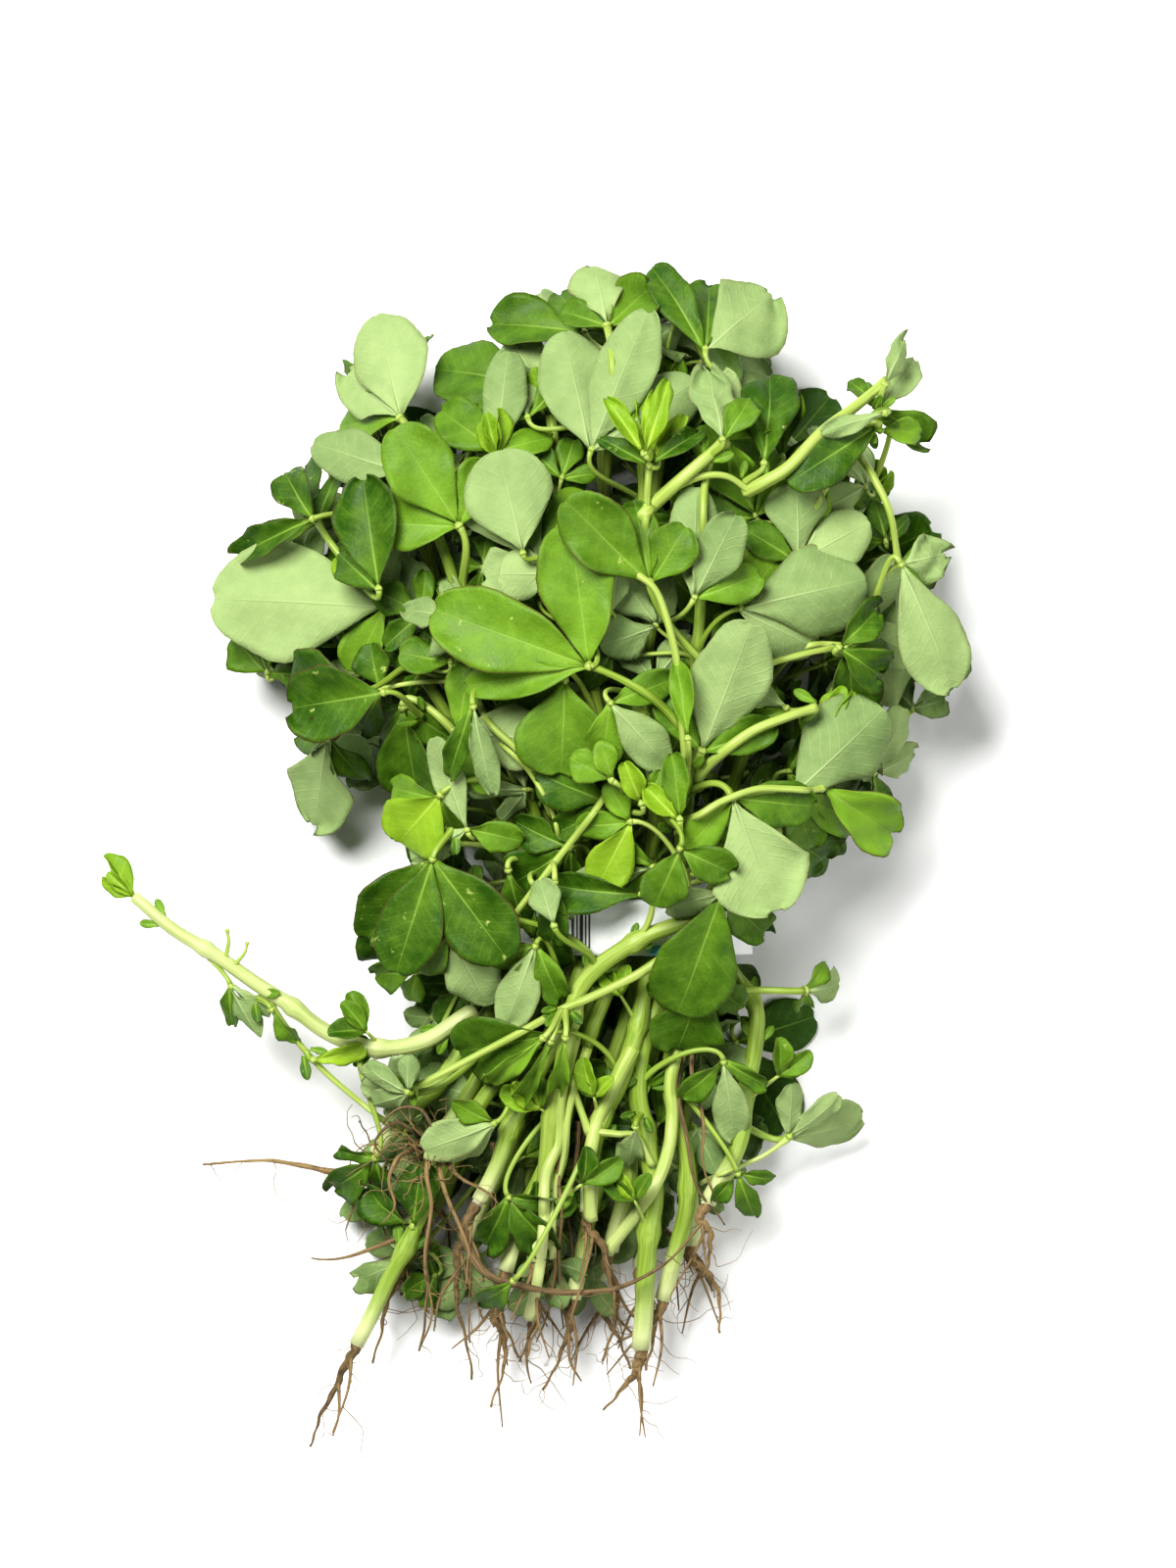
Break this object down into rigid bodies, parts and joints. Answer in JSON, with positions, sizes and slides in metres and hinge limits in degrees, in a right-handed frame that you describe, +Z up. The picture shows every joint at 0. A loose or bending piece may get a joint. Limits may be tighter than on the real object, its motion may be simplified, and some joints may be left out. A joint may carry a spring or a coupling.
{
  "type": "bunch of fenugreek greens",
  "caption": "Bunch of fresh fenugreek greens with roots, lying flat: leafy stems with three-part leaves, gathered by a paper band.",
  "frame": {"origin": "on the surface that the bunch lies on, under the middle of its outline", "axes": "+Z up from the surface, +Y along the bunch from the roots to the leaf tips, +X across it to the right seen from above"},
  "size_m": [0.2174, 0.3164, 0.0814],
  "materials": {
    "stems_and_leaves": "fresh green leaves with paler undersides, slightly waxy, and pale green stems",
    "roots": "dry brown fibrous roots",
    "paper_band": "white coated paper band with plain bars and one teal patch"
  },
  "bodies": {
    "root": {"label_band": "paper_band", "root_a1": "roots", "root_a2": "roots", "root_a3": "roots", "root_a4": "roots", "root_a5": "roots", "root_a6": "roots", "root_a7": "roots", "root_b1": "roots", "root_b2": "roots", "root_b3": "roots", "root_b4": "roots", "root_b5": "roots", "root_c1": "roots", "root_c2": "roots", "root_c3": "roots", "root_c4": "roots", "root_c5": "roots", "root_d1": "roots", "root_d2": "roots", "root_d3": "roots", "root_d4": "roots", "root_over_band": "roots", "stem_a1": "stems_and_leaves", "stem_a2": "stems_and_leaves", "stem_a3": "stems_and_leaves", "stem_a4": "stems_and_leaves", "stem_a5": "stems_and_leaves", "stem_a6": "stems_and_leaves", "stem_a7": "stems_and_leaves", "stem_b1": "stems_and_leaves", "stem_b2": "stems_and_leaves", "stem_b3": "stems_and_leaves", "stem_b4": "stems_and_leaves", "stem_b5": "stems_and_leaves", "stem_c1": "stems_and_leaves", "stem_c2": "stems_and_leaves", "stem_c3": "stems_and_leaves", "stem_c4": "stems_and_leaves", "stem_c5": "stems_and_leaves", "stem_d1": "stems_and_leaves", "stem_d2": "stems_and_leaves", "stem_d3": "stems_and_leaves", "stem_d4": "stems_and_leaves", "stem_over_band": "stems_and_leaves", "stem_side_sprig": "stems_and_leaves"}
  },
  "joints": []
}
